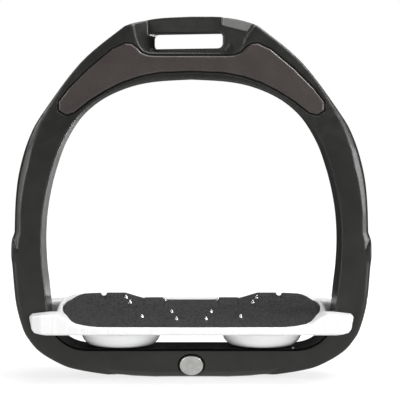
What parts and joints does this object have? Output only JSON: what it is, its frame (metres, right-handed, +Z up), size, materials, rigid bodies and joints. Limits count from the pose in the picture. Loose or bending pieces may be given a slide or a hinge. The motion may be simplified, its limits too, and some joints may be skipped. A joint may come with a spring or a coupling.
{
  "type": "stirrup iron",
  "caption": "Moulded riding stirrup: an arch with a turned strap slot, and a studded footbed that sinks and rocks on rubber springs.",
  "frame": {"origin": "centre of the flat base under the bottom bar, on the surface that it stands on", "axes": "+X across the foot opening, -Y towards the toe side (the face with the badge), +Z up to the strap bar"},
  "size_m": [0.1466, 0.06, 0.148],
  "materials": {
    "frame_moulding": "satin charcoal moulded composite",
    "inlay": "satin warm dark grey inlay",
    "badge_metal": "satin silver disc with a dark ring",
    "footbed_moulding": "smooth white moulded nylon",
    "grip_rubber": "matt slate grip compound",
    "spring_rubber": "glossy white elastomer",
    "fastener_steel": "zinc-plated steel",
    "stud_steel": "turned stainless steel"
  },
  "bodies": {
    "arch": {"frame": "frame_moulding", "crest_panel_front": "inlay", "crest_panel_rear": "inlay", "badge": "badge_metal"},
    "springs": {"elastomer_left": "spring_rubber", "elastomer_right": "spring_rubber"},
    "footrest": {"footbed": "footbed_moulding", "grip_pad": "grip_rubber", "clamp_screw_left": "fastener_steel", "clamp_screw_right": "fastener_steel", "washer_left": "fastener_steel", "washer_right": "fastener_steel", "captive_nut_left": "fastener_steel", "captive_nut_right": "fastener_steel", "stud_left_1": "stud_steel", "stud_left_2": "stud_steel", "stud_left_3": "stud_steel", "stud_left_4": "stud_steel", "stud_left_5": "stud_steel", "stud_left_6": "stud_steel", "stud_right_1": "stud_steel", "stud_right_2": "stud_steel", "stud_right_3": "stud_steel", "stud_right_4": "stud_steel", "stud_right_5": "stud_steel", "stud_right_6": "stud_steel"}
  },
  "joints": [
    {"name": "footbed_travel", "type": "slide", "parent": "arch", "child": "springs", "axis": [0, 0, 1], "range_m": [-0.0025, 0], "stiffness_N_per_m": 150000, "deforming": ["elastomer_left", "elastomer_right"]},
    {"name": "footbed_pitch", "type": "hinge", "parent": "springs", "child": "footrest", "pos_m": [0, 0, 0.0162], "axis": [1, 0, 0], "range_deg": [-3, 3], "stiffness_Nm_per_rad": 10}
  ]
}
